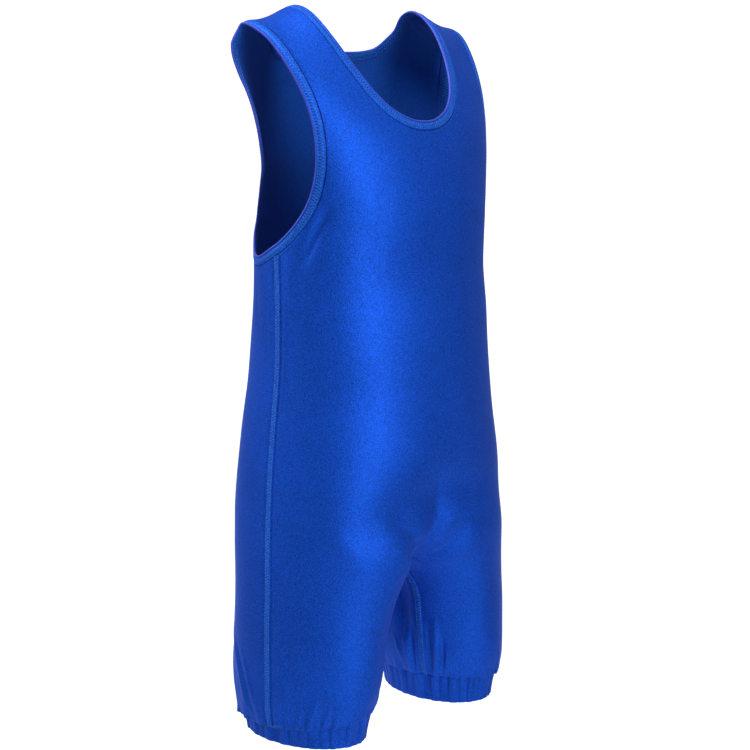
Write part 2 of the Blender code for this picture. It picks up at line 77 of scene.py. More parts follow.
# Body sections, top to bottom, in mm:
# height, outer half-width, extra half-width of the back, front depth, back depth, centre line,
# forward set of the inner side, droop over the band, squareness, squareness of the back in depth
FORM_COLUMNS = (
    "z", "outer", "spread", "front", "back", "centre", "inner", "droop", "square", "back_square"
)
FORM = (
    (2, 165, 0, 99, 80, -2, 0, 0, 2.6, 1.3),
    (-20, 159, 12.5, 99.5, 83, -4.5, 0, 0, 2.85, 1.2),
    (-50, 152, 7.5, 100, 93, -8, 0, 0, 3, 1.05),
    (-75, 146.8, 1.8, 100, 93.5, -11.8, 0, 0, 2.9, 1.05),
    (-100, 142, -1.5, 100, 91.5, -15, 0, 0, 2.7, 1.1),
    (-125, 138.2, -2.8, 98.8, 89, -18.2, 0, 0, 2.5, 1.15),
    (-150, 135, -3.5, 97, 86.5, -21, 0, 0, 2.35, 1.25),
    (-175, 132.7, -4, 95, 87, -23.3, 0, 0, 2.25, 1.6),
    (-200, 131, -3, 93, 88, -25, 0, 0, 2.2, 2),
    (-220, 130.3, 0, 91.5, 89, -25.4, 0, 0, 2.2, 2.15),
    (-250, 130, 0, 90.5, 90, -25.6, 0, 0, 2.2, 2.2),
    (-300, 131, 0, 95, 95, -26.5, 0, 0, 2.2, 2.2),
    (-360, 135, 0, 100, 100, -25.5, 0, 0, 2.2, 2.2),
    (-420, 142, 0, 105, 105, -23.8, 0, 0, 2.2, 2.2),
    (-480, 148, 0, 101, 101, -23.8, 3, 0, 2.2, 2.2),
    (-520, 151.3, 0, 95.5, 95.5, -24.1, 8.5, 0, 2.13, 2.13),
    (-550, 153.4, 0, 90.3, 90.3, -24.3, 12.2, 0, 2.06, 2.06),
    (-590, 155.3, 0, 85.2, 85.2, -24.2, 14.6, 0, 2, 2),
    (-620, 156, 0, 83.2, 83.2, -24, 15, 0.6, 2, 2),
    (-640, 156, 0, 82.6, 82.6, -23.8, 15, 4, 2, 2),
    (-656, 155.5, 0, 81.5, 81.5, -23.4, 15, 13, 2, 2),
    (-668, 153.5, 0, 78.5, 78.5, -23.2, 15, 19, 2, 2),
    (-676, 151.5, 0, 76, 76, -23.5, 15, 20, 2, 2),
    (-681, 149.5, 0, 73.8, 73.8, -23.8, 15, 12, 2, 2),
    (-684, 147, 0, 71.2, 71.2, -24, 15, 0, 2, 2),
    (-714, 143.5, 0, 67, 67, -25, 15, 0, 2, 2),
)

# Half of the gap between the legs, in mm: height, half-width
LEG_GAP = (
    (-545, 0), (-546.5, 1.8), (-550, 5.5), (-556, 10.6), (-565, 16),
    (-580, 21), (-600, 25.2), (-620, 28.1), (-640, 30.8), (-656, 34),
    (-668, 38.5), (-676, 42), (-681, 44.5), (-684, 47), (-714, 50),
)

# Middle of a leg, in mm: height, distance from the centre line
LEG_CENTRE = (
    (-530, 59.4), (-545, 66), (-560, 72.2), (-580, 79.5), (-600, 85.2),
    (-620, 89.5), (-640, 92.3), (-656, 94.3), (-684, 96.5), (-714, 96.8),
)

# The droop over the band is greatest at this angle, and its least share is on the other side
DROOP_ANGLE = -25.0
DROOP_LEAST = 0.25

# Openings, in mm and degrees. Neck: height, half-width. Armhole: height, angle from the side line.
NECK_FRONT = (
    (2, 80), (-20, 75), (-40, 70), (-60, 63.5),
    (-80, 53.5), (-96, 39.5), (-106, 21.5), (-109.5, 0),
)
NECK_BACK = (
    (2, 80), (-10, 80), (-25, 75), (-36, 65.5),
    (-41, 51), (-43, 34), (-44, 0),
)
ARMHOLE = (
    (2, 31), (-20, 35), (-50, 36.5), (-85, 36.3), (-120, 34),
    (-155, 29.5), (-185, 22.5), (-210, 11), (-229, -4), (-237, -18),
    (-230, -31), (-205, -38), (-170, -36), (-140, -28), (-110, -20),
    (-80, -20.5), (-50, -25.5), (-22, -31), (-7, -31.5), (2, -31),
)

# Mesh density: rows of the solids, and how many finer rows stand for each
LEVEL_SAMPLES = 2001
CURVE_SAMPLES = 601
HALF_NECK_SAMPLES = 96
ARMHOLE_SAMPLES = 400
MOVE_STEPS = 4
FINER = 4
STRAP_ROWS = 14
CHEST_ROWS = 11
BODY_ROWS = 8
FRONT_CHEST_Z = -0.165
BACK_STRAP_Z = -0.115
CHEST_SPREAD = 0.8
NECK_ROW_BEND = 1.8
NECK_BEND_ROWS = 5
UNDER_ARM_ROW_BEND = 0.65
UNDER_ARM_BEND_ROWS = 4
FRONT_DIP = 1.0
BACK_DIP = 1.8
PARTING_ROWS = (1.0, 0.7, 0.5, 0.35, 0.24, 0.15, 0.08, 0.03)
LEG_ROWS = (-0.545, -0.5465, -0.55, -0.556, -0.565, -0.58, -0.6)
COLUMNS = 72
EDGE_CROWDING = 0.55
GATHER_STEP = 0.0015
GATHER_COLUMNS = 8

# Gathers over the front and the back of one leg, and their heights at shares of the way down the
# band. Places, crests and reach vary in waves that turn by so many radians from one to the next.
FRONT_GATHERS = 15
BACK_GATHERS = 21
GATHER_HEIGHT = 0.0042
BAND_GATHERS = ((0.0, GATHER_HEIGHT), (0.3, 0.0038), (1.0, 0.0014))
SEAM_STRIP_ANGLE = 3.5
GATHER_REACH = (0.016, 0.04)
GATHER_FADE = 1.7
PLACE_WAVE, PLACE_TURN = 0.3, 2.4
CREST_WAVE, CREST_TURN = 0.28, 1.7
REACH_TURN = 1.3

# Leg band: rows outside and inside, and its rounded foot in mm: height, inset
BAND_BOTTOM_Z = -0.714
BAND_WALL = 0.0022
BAND_GAP = 0.0003
BAND_ROWS = (20, 12)
BAND_FOOT = ((0.8, 0.0), (0.2, 0.3), (0.0, 1.1), (0.2, 1.9), (1.0, 2.2))

# Turned hem in section, in mm: distance from the opening, height over the cloth. It starts at
# the groove by the panel, crosses both needle rows, turns over the edge, runs back inside past
# the panel's edge, and returns along the inner faces of its two layers.
HEM_SECTION = (
    (9.9, -0.4), (9.4, 0.2), (8.8, 0.3), (8.2, 0.2), (7.4, 0.4),
    (6.2, 0.6), (4.8, 0.6), (3.6, 0.4), (2.8, 0.2), (2.1, 0.4),
    (1.2, 0.8), (0.4, 0.7), (-0.2, 0.2), (-0.3, -0.6), (0.2, -1.3),
    (1.2, -1.8), (6, -1.9), (11.8, -1.9), (12.6, -1.6), (11.8, -1.3),
    (6, -1.3), (1.4, -1.2), (0.9, -0.8), (1.4, -0.4), (6, -0.5),
    (9.6, -0.8),
)
# Faces over the fold at the opening take the turned_edge_painted_rim material, whose pale violet is a
# painted rim reflection; the cut face inside takes it as well
HEM_PAINTED_RIM_FACES = (10, 11, 12, 13)
HEM_INSIDE_FACES = range(14, 26)
HEM_CUT_FACE = 17
HEM_NEEDLE_ROWS = (0.0028, 0.0082)
# Threads over the hem and inside it: their height over the cloth, and a height further out
HEM_THREADS = ((0.0003, 0.0013), (-0.002, -0.003))

# Flat seam over two joined edges, its section in mm: distance from the seam, height over the cloth
STRIP_SECTION = (
    (-3.4, -0.2), (-3.1, 0.4), (-2.3, 0.6), (-1.2, 0.8), (0, 0.8),
    (1.2, 0.8), (2.3, 0.6), (3.1, 0.4), (3.4, -0.2),
)
STRIP_NEEDLE_ROW = 0.0023
STRIP_THREAD_HEIGHT = 0.0007

# Flat seams: their tops and foot, and points along them
SEAM_TOP_Z = -0.2345
INSEAM_TOP_Z = -0.552
SEAM_FOOT_Z = BAND_TOP_Z + 0.0006
SEAM_POINTS = 300
INSEAM_POINTS = 90

# Thread. A stitch of a needle row leaves a gap, as a share of its length. Arches over the cloth
# have a height and a number of points.
THREAD_RADIUS = 0.00026
STITCH_PITCH = 0.003
THREAD_SIDES = 5
NEEDLE_GAP = 0.16
NEEDLE_ARCH = (0.00022, 4)
CROSSING_ARCH = (0.00034, 5)
ARCH_POWER = 0.6


def clamped(share):
    return np.clip(share, 0.0, 1.0)


def smooth_column(rows, column, z):
    """Monotone cubic through one column of a table whose first column is the height."""
    table = np.array(rows, float)[::-1]
    heights, values = table[:, 0] / PER_METRE, table[:, column]
    steps = np.diff(heights)
    slopes = np.diff(values) / steps
    ends = np.zeros(len(values))
    same_sign = slopes[:-1] * slopes[1:] > 0
    ends[1:-1][same_sign] = 2.0 / (1.0 / slopes[:-1][same_sign] + 1.0 / slopes[1:][same_sign])
    z = np.clip(z, heights[0], heights[-1])
    i = np.clip(np.searchsorted(heights, z) - 1, 0, len(steps) - 1)
    t = (z - heights[i]) / steps[i]
    low = (2 * t**3 - 3 * t**2 + 1) * values[i] + (t**3 - 2 * t**2 + t) * ends[i] * steps[i]
    high = (3 * t**2 - 2 * t**3) * values[i + 1] + (t**3 - t**2) * ends[i + 1] * steps[i]
    return low + high


def length_column(rows, column, z):
    return smooth_column(rows, column, z) / PER_METRE


def form(name, z):
    """A length of the body's section, or its squareness, which has no unit."""
    column = smooth_column if name.endswith("square") else length_column
    return column(FORM, FORM_COLUMNS.index(name), z)


def height_of(level):
    """Level is 1 on the shoulder line and 0 at the chest. Below that it goes on at the same rate."""
    turn = np.maximum(level, 0.0) * math.pi / 2
    rise = np.sin(turn) * (1.0 - CAP_FLATNESS * np.cos(turn) ** 2)
    return CHEST_Z + np.minimum(level, 0.0) * LEVEL_HEIGHT + rise * (SHOULDER_Z - CHEST_Z)


def level_of(z):
    levels = np.linspace(0.0, 1.0, LEVEL_SAMPLES)
    below = (z - CHEST_Z) / LEVEL_HEIGHT
    return np.where(z < CHEST_Z, below, np.interp(z, height_of(levels), levels))


def parting(z):
    """0 where the torso is one ring, 1 where it has become two legs."""
    rise = clamped((z - CROTCH_Z) / PARTING_HEIGHT)
    return (1.0 - rise) ** 2


def section_middle(z, outer):
    """Middle of half a section, and how far it reaches inward from there: the whole torso's half
    section starts at the centre line, and the leg's has its own middle."""
    narrowed = outer / (1.0 + PARTING_NARROWS * parting(z))
    middle = np.where(z > CROTCH_Z, parting(z) * narrowed, length_column(LEG_CENTRE, 1, z))
    return middle, np.where(z > CROTCH_Z, narrowed, middle - length_column(LEG_GAP, 1, z))


def half_width(z, behind):
    return form("outer", z) + np.where(behind, form("spread", z), 0.0)


def signed_power(value, power):
    return np.sign(value) * np.abs(value) ** power


def body_point(level, angle, side=1):
    """Point on the outside of the cloth. Side 1 is the wearer's left; the angle starts at the side
    line and is positive over the front."""
    level, angle = np.broadcast_arrays(np.asarray(level, float), np.asarray(angle, float))
    z = height_of(level)
    turn = np.radians(angle)
    cap = np.cos(np.maximum(level, 0.0) * math.pi / 2)
    behind = np.sin(turn) * cap < 0
    outer = half_width(z, behind)
    square = form("square", z)
    middle, inward = section_middle(z, outer)
    sideways = signed_power(np.cos(turn), 2 / square)
    x = middle + np.where(sideways > 0, outer - middle, inward) * sideways
    depth_square = np.where(behind, form("back_square", z), square)
    outward = signed_power(np.sin(turn), 2 / depth_square) * cap
    y = form("centre", z) - np.where(behind, form("back", z), form("front", z)) * outward
    y = y - form("inner", z) * (outer - x) / outer
    up = clamped((z - CHEST_Z) / (SHOULDER_Z - CHEST_Z))
    slope = (x**2 - SLOPE_FROM_X**2) / (SLOPE_TO_X**2 - SLOPE_FROM_X**2)
    lean = DROOP_LEAST + (1 - DROOP_LEAST) * np.cos(np.radians(angle - DROOP_ANGLE) / 2) ** 2
    z = z - SLOPE_DROP * up**2 * slope - form("droop", z) * lean
    return np.stack([side * x, y, z], axis=-1)


def surface_slopes(level, angle, side):
    """Changes of the surface point for one unit of level and one degree of angle."""
    step, turn = 1e-4, 0.02
    along = body_point(level + step, angle, side) - body_point(level - step, angle, side)
    around = body_point(level, angle + turn, side) - body_point(level, angle - turn, side)
    return along / (2 * step), around / (2 * turn)


def unit(vectors):
    return vectors / np.linalg.norm(vectors, axis=-1, keepdims=True)


def outward_normal(level, angle, side=1):
    along, around = surface_slopes(level, angle, side)
    return unit(np.cross(along, around)) * side


def angle_at_width(z, width, behind):
    share = clamped(width / half_width(z, behind))
    return np.degrees(np.arccos(share ** (form("square", z) / 2)))


def side_seam(z):
    return smooth_column(SIDE_SEAM, 1, z)


def inner_edge(z):
    """Angle at which half of the front ends: at the centre line, or at the inseam of the leg."""
    square = form("square", z)
    centre = np.degrees(np.arccos(-(parting(z) ** (square / 2))))
    below = clamped((CROTCH_Z - z) / INSEAM_TURN_HEIGHT)
    return np.where(z > CROTCH_Z, centre, 180.0 - INSEAM_TURN * below * (2.0 - below))


def end_angles(z, front):
    """Where half a panel ends: the centre line and then the inseam, turned towards the front."""
    inner = inner_edge(z)
    return inner if front else np.where(z > CROTCH_Z, -inner, inner - 360.0)


def angle_across(z, front, share):
    """Angle at a share of the way from the side seam to where half the panel ends."""
    start = side_seam(z)
    return start + (end_angles(z, front) - start) * share


def through(before, rows, after):
    """Smooth curve through rows of level and angle, sampled closely. Its ends head for two more rows."""
    guides = np.vstack([before, rows, after])
    spans = np.linspace(0.0, len(rows) - 1.0, CURVE_SAMPLES)
    i = np.minimum(spans.astype(int), len(rows) - 2)
    t = (spans - i)[:, None]
    p0, p1, p2, p3 = guides[i], guides[i + 1], guides[i + 2], guides[i + 3]
    curve = p1 + t * (p2 - p0) / 2 + t**2 * (p0 - 2.5 * p1 + 2 * p2 - p3 / 2)
    return curve + t**3 * (1.5 * (p1 - p2) + (p3 - p0) / 2)


def over_shoulder(points):
    """The same points as level and angle of the other panel: its levels start at the shoulder."""
    return (2.0, 0.0) - points


def neckline_rows(table, sign):
    heights, widths = np.array(table).T / PER_METRE
    angles = angle_at_width(heights, widths, sign < 0) * sign
    return np.stack([level_of(heights), angles], axis=-1)


def half_neckline(sign):
    """One half of the neckline as level and angle, from the shoulder to the centre. Sign 1 is the front."""
    front, back = neckline_rows(NECK_FRONT, 1), neckline_rows(NECK_BACK, -1)
    rows, others = (front, back) if sign > 0 else (back, front)
    before = over_shoulder(others[1:2])
    whole = through(before, np.vstack([rows, across(rows[-2::-1])]), across(before))
    return whole[: (CURVE_SAMPLES + 1) // 2]


def across(curve):
    """The same curve on the body's other side."""
    return np.stack([curve[:, 0], np.sign(curve[:, 1]) * 180.0 - curve[:, 1]], axis=-1)


def lengths_along(points):
    steps = np.linalg.norm(np.diff(points, axis=0), axis=1)
    return np.append(0.0, np.cumsum(steps))


def resampled(points, places, wanted):
    """A line of points at wanted places along it."""
    return np.stack([np.interp(wanted, places, values) for values in points.T], axis=-1)


def spaced(curve, count):
    """Points of the curve, evenly spaced along the cloth."""
    lengths = lengths_along(body_point(*curve.T))
    return resampled(curve, lengths, np.linspace(0.0, lengths[-1], count))


def moved_in(curve, distance, towards):
    """A closed curve set back from its opening by a distance along the cloth."""
    curve = curve.copy()
    for _ in range(MOVE_STEPS):
        points = body_point(*curve.T)
        run = unit(np.roll(points, -1, axis=0) - np.roll(points, 1, axis=0))
        slopes = np.stack(surface_slopes(*curve.T, 1), axis=1)
        ways = np.cross(outward_normal(*curve.T), run) * towards
        metric = slopes @ slopes.transpose(0, 2, 1)
        curve += np.linalg.solve(metric, slopes @ ways[:, :, None])[:, :, 0] * distance / MOVE_STEPS
    return curve


class Opening:
    """An edge once round, with the stations where rows of both panels and its hem meet."""

    def __init__(self, curve, front_stations, back_stations, towards):
        self.curve = curve
        self.front_stations = front_stations
        self.back_stations = back_stations
        self.towards = towards

    def panel_path(self, front):
        """Stations of one panel from the shoulder on, clear of the hem."""
        moved = moved_in(self.curve, HEM_WIDTH + SEAM_GAP, self.towards)
        whole = np.vstack([moved, moved[:1] if front else over_shoulder(moved[:1])])
        stations = self.front_stations if front else self.back_stations
        return resampled(whole, np.arange(len(whole)), stations)

    def ring(self, distance, height, side):
        """Points all round, set back from the opening and raised over the cloth."""
        return raised(*moved_in(self.curve, distance, self.towards).T, side, height)


def finer(values):
    """The same row of values in steps that are FINER times as small."""
    places = np.linspace(0.0, len(values) - 1.0, (len(values) - 1) * FINER + 1)
    return np.interp(places, np.arange(len(values)), values)


def along_strap(first, last):
    """Stations along a strap, with one close to the shoulder seam, where the cloth bends over."""
    beside = first + np.sign(last - first)
    return np.append(first, np.linspace(beside, last, STRAP_ROWS))


def neck_opening():
    """The neck: left front from the shoulder, right front, right back, left back."""
    front = spaced(half_neckline(1), HALF_NECK_SAMPLES + 1)
    back = spaced(half_neckline(-1), HALF_NECK_SAMPLES + 1)
    parts = (front, across(front)[::-1], across(back), back[::-1])
    loop = np.vstack([part[:-1] for part in parts])
    front_stations = finer(along_strap(0, HALF_NECK_SAMPLES))
    return Opening(loop, front_stations, len(loop) - front_stations, 1)


def armhole_opening():
    """The armhole from the shoulder down its front, under the arm and up its back."""
    heights, angles = np.array(ARMHOLE).T
    rows = np.stack([level_of(heights / PER_METRE), angles], axis=-1)
    whole = through(over_shoulder(rows[-2:-1]), rows, over_shoulder(rows[1:2]))
    loop = spaced(whole, ARMHOLE_SAMPLES + 1)[:-1]
    edge = moved_in(loop, HEM_WIDTH + SEAM_GAP, -1)
    drops = height_of(edge[:, 0])
    seam = int(np.argmin(np.abs(edge[:, 1] - side_seam(drops)) + (drops > CHEST_Z) * 180.0))
    cuts = (
        (0, int(np.argmin(np.abs(drops[:seam] - FRONT_CHEST_Z)))),
        (len(loop), seam + int(np.argmin(np.abs(drops[seam:-1] - BACK_STRAP_Z)))),
    )
    front, back = (
        finer(np.append(along_strap(top, cut), np.linspace(cut, seam, CHEST_ROWS + 1)[1:]))
        for top, cut in cuts
    )
    return Opening(loop, front, back, -1)


def line_of(heights, angles):
    return np.stack([level_of(np.array(heights)), np.broadcast_to(angles, len(heights))], axis=-1)


def horizontal_outward(level, angle, side):
    return unit(np.cross((0.0, 0.0, 1.0), surface_slopes(level, angle, side)[1])) * side


def raised(level, angle, side, height):
    """Surface points moved out from the body."""
    height = np.broadcast_to(height, np.shape(level))
    return body_point(level, angle, side) + outward_normal(level, angle, side) * height[..., None]


def row_bends(count, front):
    """Power that bends each row: up to the low point of the neck, and down below the armhole's back."""
    under_arm = STRAP_ROWS + CHEST_ROWS
    ends = (under_arm - UNDER_ARM_BEND_ROWS, under_arm, under_arm + BODY_ROWS)
    marks = (0, STRAP_ROWS, STRAP_ROWS + NECK_BEND_ROWS, *ends)
    powers = (1.0, NECK_ROW_BEND, 1.0, 1.0, 1.0 if front else UNDER_ARM_ROW_BEND, 1.0)
    return np.interp(np.arange(count) / FINER, marks, powers)


def upper_grid(front, armhole, neck):
    """Levels and angles of half a panel, from the shoulder seam to where the gathers begin."""
    sign = 1 if front else -1
    armhole_path, neck_path = armhole.panel_path(front), neck.panel_path(front)
    neck_path[-1, 1] = sign * 90.0
    chest_z, neck_z = height_of(armhole_path[-1, 0]), height_of(neck_path[-1, 0])
    body_rows, strap_rows = BODY_ROWS * FINER, STRAP_ROWS * FINER
    body_z = np.linspace(chest_z, CROTCH_Z + PARTING_HEIGHT, body_rows + 1)[1:]
    coarse_step = (CROTCH_Z + PARTING_HEIGHT - chest_z) / BODY_ROWS
    centre_top = chest_z + coarse_step * (1.0 + (FRONT_DIP if front else BACK_DIP))
    parting_z = CROTCH_Z + PARTING_HEIGHT * np.array(PARTING_ROWS)
    low_z = np.append(body_z, finer(np.append(parting_z, LEG_ROWS))[1:])
    starts = np.vstack([armhole_path, line_of(low_z, side_seam(low_z))])
    drops = height_of(armhole_path[strap_rows:, 0])
    fallen = (drops[1:] - drops[0]) / (drops[-1] - drops[0])
    evenly = np.linspace(0.0, 1.0, len(fallen) + 1)[1:]
    fallen = fallen * (1.0 - CHEST_SPREAD) + evenly * CHEST_SPREAD
    chest_ends = neck_z + (centre_top - neck_z) * fallen
    low_ends = low_z.copy()
    low_ends[:body_rows] = np.linspace(centre_top, body_z[-1], body_rows + 1)[1:]
    chest_line = line_of(chest_ends, sign * 90.0)
    ends = np.vstack([neck_path, chest_line, line_of(low_ends, end_angles(low_ends, front))])
    share = crowded(COLUMNS)
    bent = share ** row_bends(len(starts), front)[:, None]
    levels = starts[:, :1] + (ends[:, :1] - starts[:, :1]) * bent
    return levels, starts[:, 1:] + (ends[:, 1:] - starts[:, 1:]) * share


def crowded(count):
    """Shares from 0 to 1, closer together at both ends."""
    share = np.linspace(0.0, 1.0, count + 1)
    return share - EDGE_CROWDING * np.sin(math.tau * share) / math.tau


def strap_sag(levels):
    """How the strap sinks between its two hems, greatest over the shoulder."""
    over = clamped((levels - SAG_FROM_LEVEL) / (1.0 - SAG_FROM_LEVEL))
    strap = np.arange(len(levels))[:, None] < STRAP_ROWS * FINER
    return np.where(strap, -STRAP_SAG * over**SAG_POWER * np.sin(math.pi * crowded(COLUMNS)), 0.0)


def calm_edges(levels):
    """1 over the cloth, falling to 0 where it meets the hems."""
    rows = np.arange(len(levels))[:, None]
    share = crowded(COLUMNS)
    by_armhole = clamped(((STRAP_ROWS + CHEST_ROWS) * FINER - rows) / EDGE_ROWS)
    by_neck = clamped((STRAP_ROWS * FINER - rows) / EDGE_ROWS)
    calm = 1.0 - by_armhole * (1.0 - clamped(share / EDGE_SHARE))
    return calm * (1.0 - by_neck * (1.0 - clamped((1.0 - share) / EDGE_SHARE)))


def lower_grid(front):
    """Levels and angles of half a panel's gathered foot, down to the leg band."""
    rows = round((LEG_ROWS[-1] - BAND_TOP_Z) / GATHER_STEP)
    z = np.linspace(LEG_ROWS[-1], BAND_TOP_Z, rows + 1)[1:, None]
    share = foot_shares(front)
    return level_of(z) + 0.0 * share, angle_across(z, front, share)


def gather_count(front):
    return FRONT_GATHERS if front else BACK_GATHERS


def foot_shares(front):
    return np.linspace(0.0, 1.0, gather_count(front) * GATHER_COLUMNS + 1)


def gather_knots(front, side):
    """Shares across half a panel where valleys and crests lie, and their heights: valleys at 0."""
    count = gather_count(front)
    z = BAND_TOP_Z
    start, end = float(side_seam(z)), float(end_angles(np.array(z), front))
    way = np.sign(end - start)
    first, last = start + way * SEAM_STRIP_ANGLE, end - way * SEAM_STRIP_ANGLE
    order = np.arange(2 * count + 1)
    uneven = np.sin(order * PLACE_TURN + count) * (last - first) / (2 * count) * PLACE_WAVE
    uneven[[0, -1]] = 0.0
    angles = first + (last - first) * np.linspace(0.0, 1.0, 2 * count + 1) + uneven
    waves = np.sin(order * CREST_TURN + side + (2.0 if front else 0.0))
    crests = 1.0 - CREST_WAVE + CREST_WAVE * waves
    crests[::2] = 0.0
    return (angles - start) / (end - start), crests


def gather_shares(share, rise, front, side):
    """Share of full height of the gathers at a place across a panel and a rise over the band."""
    knots, crests = gather_knots(front, side)
    order = np.arange(len(knots))
    wave = 0.5 + 0.5 * np.sin(order * REACH_TURN + 2.0 * side + (1.0 if front else 3.0))
    reach = GATHER_REACH[0] + (GATHER_REACH[1] - GATHER_REACH[0]) * wave**2
    edges = np.array([0.0, *knots, 1.0])
    crests, reach = np.pad(crests, 1), np.pad(reach, 1, mode="edge")
    i = np.clip(np.searchsorted(edges, share) - 1, 0, len(edges) - 2)
    t = clamped((share - edges[i]) / (edges[i + 1] - edges[i]))
    tall = [crests[j] * clamped(1.0 - rise / reach[j]) ** GATHER_FADE for j in (i, i + 1)]
    return tall[0] * (1.0 - t**3) + tall[1] * (1.0 - (1.0 - t) ** 3)


# Creases, in mm. Panel, side (1 left, -1 right), three marks, half-width, height: a ridge
# over 0, a trough under. A mark is a height and a percentage of the way across half the panel,
# from the side seam to the centre line or inseam.
CREASES = (
    # Beside the lower curve of each armhole
    ("front", -1, (-186, 39), (-216, 28), (-248, 18), 6.2, -3.6),
    ("front", -1, (-232, 7), (-256, 10), (-300, 8), 5, 1),
    ("front", 1, (-186, 40), (-214, 30), (-242, 18), 7, -2.8),
    ("front", 1, (-234, 8), (-258, 11), (-292, 8), 5.5, 0.9),
    ("back", -1, (-243, 20), (-258, 15), (-282, 12), 3, 0.7),
    ("back", -1, (-248, 30), (-276, 22), (-312, 18), 5, -0.6),
    ("back", 1, (-242, 22), (-262, 16), (-290, 12), 3.4, 0.7),
    # Along the side seams
    ("front", -1, (-250, 6.2), (-310, 5.6), (-378, 5), 1.5, 0.8),
    ("front", 1, (-246, 6), (-290, 5.6), (-350, 5.2), 1.6, 0.7),
    ("back", -1, (-250, 7), (-300, 6), (-345, 5), 2, 0.6),
    ("back", 1, (-250, 6), (-290, 7), (-330, 6), 2, 0.6),
    ("front", -1, (-556, 7.5), (-610, 7), (-668, 6), 1.8, 0.7),
    ("front", -1, (-590, 12.5), (-632, 11.5), (-674, 9), 2.4, -0.8),
    ("front", 1, (-580, 8), (-624, 7.2), (-670, 6), 1.8, 0.7),
    ("front", 1, (-600, 13), (-638, 11.5), (-674, 9), 2.4, -0.8),
    # Under the belly and over the groin
    ("front", -1, (-512, 42), (-474, 100), (-500, 172), 25, -7.2),
    ("front", -1, (-550, 90), (-524, 80), (-484, 68), 11.5, -5.6),
    ("front", 1, (-552, 91), (-530, 84), (-506, 74), 11, -3.4),
    ("front", 1, (-498, 90), (-524, 90), (-552, 95), 6, 1.4),
    ("front", -1, (-572, 92), (-566, 76), (-552, 62), 6, 0.6),
    ("front", 1, (-575, 92), (-572, 74), (-560, 58), 6, 0.6),
    # Across the small of the back and under the seat
    ("back", -1, (-300, 50), (-309, 100), (-302, 135), 7, -0.9),
    ("back", 1, (-326, 46), (-336, 90), (-328, 130), 8, -1),
    ("back", 1, (-286, 60), (-290, 84), (-286, 110), 6, -0.6),
    ("back", -1, (-350, 62), (-356, 86), (-350, 112), 7, -0.7),
    ("back", -1, (-556, 90), (-566, 70), (-560, 46), 9, -1.8),
    ("back", 1, (-556, 90), (-570, 68), (-566, 42), 9, -1.6),
    ("back", -1, (-470, 95), (-510, 93), (-550, 91), 10, -2),
    ("back", 1, (-470, 95), (-510, 93), (-550, 91), 10, -2),
    # Behind each inseam
    ("back", 1, (-562, 93), (-600, 92.5), (-646, 93), 8.5, -6),
    ("back", -1, (-566, 93), (-600, 92.5), (-640, 93), 8.5, -5),
    # Drag lines down to the band behind each side seam
    ("back", -1, (-606, 27), (-644, 16), (-670, 9), 3.6, 1.3),
    ("back", -1, (-594, 40), (-638, 28), (-668, 18), 4, 1.1),
    ("back", -1, (-622, 15), (-650, 8.5), (-672, 4), 3, 1),
    ("back", -1, (-612, 21), (-646, 12.2), (-670, 6.5), 2.6, -0.8),
    ("back", 1, (-606, 30), (-642, 20), (-670, 12), 3.8, 1.2),
    ("back", 1, (-594, 44), (-638, 34), (-668, 26), 3.8, 1.1),
    ("back", 1, (-626, 16), (-652, 9), (-672, 5), 3, 0.9),
    # Folds over the near part of each band
    ("front", -1, (-660, 11.5), (-672, 10.5), (-684, 10), 1.8, 1.6),
    ("front", -1, (-654, 18.5), (-669, 16.5), (-684, 15.5), 2.1, 2.1),
    ("front", -1, (-650, 26), (-668, 23), (-684, 21.5), 2.3, 2.2),
    ("front", -1, (-658, 33), (-671, 30.5), (-684, 29.5), 2.2, 1.6),
    ("front", -1, (-660, 80), (-672, 79), (-684, 79), 2.2, 2),
    ("front", 1, (-658, 13), (-671, 12), (-684, 12), 2, 1.7),
    ("front", 1, (-652, 24), (-668, 22), (-684, 21), 2.4, 2),
    ("front", 1, (-660, 62), (-672, 61), (-684, 61), 2.2, 1.8),
    # Pleats beside each inseam
    ("front", 1, (-622, 95.8), (-654, 95.2), (-683, 95.8), 2.2, -3),
    ("front", 1, (-616, 92.2), (-652, 91.6), (-683, 93), 3.8, 4),
    ("front", 1, (-634, 88), (-658, 88.2), (-683, 90.5), 2.6, -3),
    ("front", -1, (-626, 95.2), (-656, 95), (-683, 95.5), 2.2, -2),
    ("front", -1, (-622, 91), (-654, 91.2), (-683, 92.5), 4.2, 2.8),
    ("back", 1, (-622, 96.6), (-656, 96.2), (-683, 96.6), 2.2, -3),
    ("back", 1, (-618, 94), (-654, 93.6), (-683, 94.4), 4, 3),
    ("back", 1, (-640, 88), (-660, 90.2), (-683, 93), 2.8, 2),
    ("back", -1, (-626, 96.2), (-658, 96), (-683, 96.4), 2.2, -2),
    ("back", -1, (-622, 93), (-656, 93.4), (-683, 94.2), 4, 2.6),
)
CREASE_SAMPLES = 25
CREASE_REACH = 3.0
CREASE_TAPER = 0.8
OTHER_SIDE_FADE = 0.04
PARTING_CALM = 0.006
FOOT_FADE = 0.004
STRAP_SAG = 0.0034
SAG_FROM_LEVEL = 0.35
SAG_POWER = 1.5
EDGE_SHARE = 0.07
EDGE_ROWS = 8
# Groove on each side of a flat seam: distance from the seam, half-width, depth
GROOVE_AT, GROOVE_WIDTH, GROOVE_DEPTH = 0.0046, 0.0012, 0.0007
GROOVE_FADE = 0.01
# Slow unevenness: height, and the lengths of its waves along x, y and z
SOFTNESS = 0.0005
WAVES_X, WAVES_Y, WAVES_Z = (0.11, 0.13), 0.09, (0.17, 0.21, 0.075)


